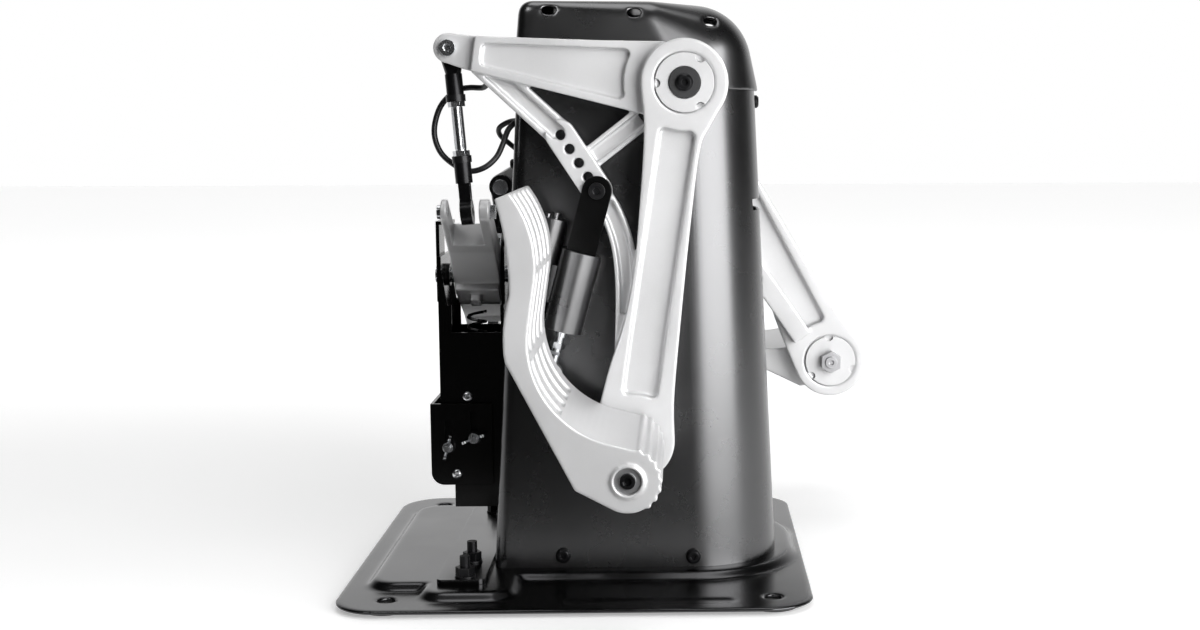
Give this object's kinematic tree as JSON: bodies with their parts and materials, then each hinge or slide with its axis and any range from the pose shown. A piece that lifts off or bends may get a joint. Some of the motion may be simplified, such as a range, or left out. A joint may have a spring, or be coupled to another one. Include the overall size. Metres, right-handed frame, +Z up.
{
  "type": "rudder pedals",
  "caption": "Hanging rudder pedals for flight simulation: two pivoted pedal arms with toe brakes, linked by a rocker on a bent-metal tower over a square base plate.",
  "frame": {"origin": "middle of the four mounting holes, at floor level", "axes": "+X towards the user's seat, +Y towards the user's right foot, +Z up"},
  "size_m": [0.3236, 0.3908, 0.346],
  "materials": {
    "cast_arm": "fine sand-cast texture, clear lacquer",
    "cover_black": "satin black powder coat",
    "bracket_black": "satin black",
    "frame_steel": "plain",
    "black_oxide": "black oxide",
    "zinc": "bright zinc",
    "rubber": "matte",
    "bronze": "sintered",
    "circuit": "solder resist",
    "cylinder_gray": "satin dark gray",
    "sensor_black": "satin",
    "lead_black": "smooth jacket"
  },
  "bodies": {
    "base": {"base_plate": "bracket_black", "rubber_feet": "rubber", "tower_frame": "frame_steel", "frame_studs": "black_oxide", "cover_brackets": "frame_steel", "front_panel": "cover_black", "tower_cover": "cover_black", "top_cap": "cover_black", "cover_screws": "black_oxide", "main_shaft": "zinc", "shaft_end_screws": "black_oxide", "control_board": "circuit", "rudder_sensor": "circuit", "usb_socket": "zinc", "rocker_bushes": "bronze", "tension_housing": "bracket_black", "tension_studs": "zinc"},
    "rocker": {"rocker": "cast_arm", "rocker_shaft": "zinc", "clevis_screws": "zinc", "centring_spring": "zinc"},
    "tension_slider": {"tension_slider": "bracket_black"},
    "upper_wing_nut": {"upper_wing_nut": "zinc"},
    "lower_wing_nut": {"lower_wing_nut": "zinc"},
    "left_arm": {"left_arm": "cast_arm", "left_arm_bearings": "zinc", "left_bearing_cap": "cast_arm", "left_heel_cap": "cast_arm", "left_heel_bushes": "bronze", "left_heel_axle": "zinc", "left_tie_bolt": "zinc", "left_brake_pin": "black_oxide", "left_lead": "lead_black"},
    "left_pedal": {"left_pedal": "cast_arm", "left_lug_bolt": "zinc"},
    "left_tie": {"left_tie_rod": "zinc", "left_rod_ends": "black_oxide"},
    "left_strut": {"left_brake_fork": "black_oxide", "left_brake_cylinder": "cylinder_gray", "left_brake_sensor": "sensor_black", "left_brake_spring": "zinc"},
    "left_plunger": {"left_brake_rod": "zinc"},
    "right_arm": {"right_arm": "cast_arm", "right_arm_bearings": "zinc", "right_bearing_cap": "cast_arm", "right_heel_cap": "cast_arm", "right_heel_bushes": "bronze", "right_heel_axle": "zinc", "right_tie_bolt": "zinc", "right_brake_pin": "black_oxide", "right_lead": "lead_black"},
    "right_pedal": {"right_pedal": "cast_arm", "right_lug_bolt": "zinc"},
    "right_tie": {"right_tie_rod": "zinc", "right_rod_ends": "black_oxide"},
    "right_strut": {"right_brake_fork": "black_oxide", "right_brake_cylinder": "cylinder_gray", "right_brake_sensor": "sensor_black", "right_brake_spring": "zinc"},
    "right_plunger": {"right_brake_rod": "zinc"}
  },
  "joints": [
    {"name": "left_arm_swing", "type": "hinge", "parent": "base", "child": "left_arm", "pos_m": [0.061, -0.074, 0.297], "axis": [0, 1, 0], "range_deg": [-38.3, 1.7], "deforming": ["left_lead"]},
    {"name": "right_arm_swing", "type": "hinge", "parent": "base", "child": "right_arm", "pos_m": [0.061, 0.074, 0.297], "axis": [0, 1, 0], "range_deg": [-1.7, 38.3], "deforming": ["right_lead"]},
    {"name": "rocker_tilt", "type": "hinge", "parent": "base", "child": "rocker", "pos_m": [-0.068, 0, 0.18004], "axis": [1, 0, 0], "range_deg": [-3.4, 74], "deforming": ["centring_spring"]},
    {"name": "left_tie_swing", "type": "hinge", "parent": "left_arm", "child": "left_tie", "pos_m": [-0.07451, -0.06, 0.31713], "axis": [0, 1, 0], "range_deg": [-2.3, 47.8]},
    {"name": "right_tie_swing", "type": "hinge", "parent": "right_arm", "child": "right_tie", "pos_m": [-0.0598, 0.06, 0.23237], "axis": [0, 1, 0], "range_deg": [-47.8, 2.3]},
    {"name": "left_brake_press", "type": "hinge", "parent": "left_arm", "child": "left_pedal", "pos_m": [0.03029, -0.142, 0.09027], "axis": [0, -1, 0], "range_deg": [0, 15], "stiffness_Nm_per_rad": 60, "springref_deg": -1.72},
    {"name": "left_strut_swing", "type": "hinge", "parent": "left_arm", "child": "left_strut", "pos_m": [0.0103, -0.074, 0.23538], "axis": [0, 1, 0], "range_deg": [0, 2]},
    {"name": "left_strut_slide", "type": "slide", "parent": "left_strut", "child": "left_plunger", "axis": [-0.2606, 0, -0.9655], "range_m": [0, 0.0158], "deforming": ["left_brake_spring"]},
    {"name": "right_brake_press", "type": "hinge", "parent": "right_arm", "child": "right_pedal", "pos_m": [0.1596, 0.142, 0.11272], "axis": [0, -1, 0], "range_deg": [0, 15], "stiffness_Nm_per_rad": 60, "springref_deg": -1.72},
    {"name": "right_strut_swing", "type": "hinge", "parent": "right_arm", "child": "right_strut", "pos_m": [0.05703, 0.074, 0.2173], "axis": [0, 1, 0], "range_deg": [0, 2]},
    {"name": "right_strut_slide", "type": "slide", "parent": "right_strut", "child": "right_plunger", "axis": [0.3665, 0, -0.9304], "range_m": [0, 0.0158], "deforming": ["right_brake_spring"]},
    {"name": "tension_slide", "type": "slide", "parent": "base", "child": "tension_slider", "axis": [0, 0, -1], "range_m": [0, 0.015]},
    {"name": "upper_wing_nut_turn", "type": "hinge", "parent": "base", "child": "upper_wing_nut", "pos_m": [-0.07, -0.028, 0.081], "axis": [0, 1, 0], "continuous": true},
    {"name": "lower_wing_nut_turn", "type": "hinge", "parent": "base", "child": "lower_wing_nut", "pos_m": [-0.086, -0.028, 0.0755], "axis": [0, 1, 0], "continuous": true}
  ],
  "couplings": [
    {"joint": "right_arm_swing", "follows": "left_arm_swing", "ratio": -1},
    {"joint": "rocker_tilt", "follows": "left_arm_swing", "ratio": -1.9258},
    {"joint": "left_tie_swing", "follows": "left_arm_swing", "ratio": -1.2426},
    {"joint": "right_tie_swing", "follows": "left_arm_swing", "ratio": 1.2426},
    {"joint": "left_strut_swing", "follows": "left_brake_press", "ratio": 0.1248},
    {"joint": "left_strut_slide", "follows": "left_brake_press", "m_per_rad": 0.05978},
    {"joint": "right_strut_swing", "follows": "right_brake_press", "ratio": 0.1248},
    {"joint": "right_strut_slide", "follows": "right_brake_press", "m_per_rad": 0.05978}
  ]
}
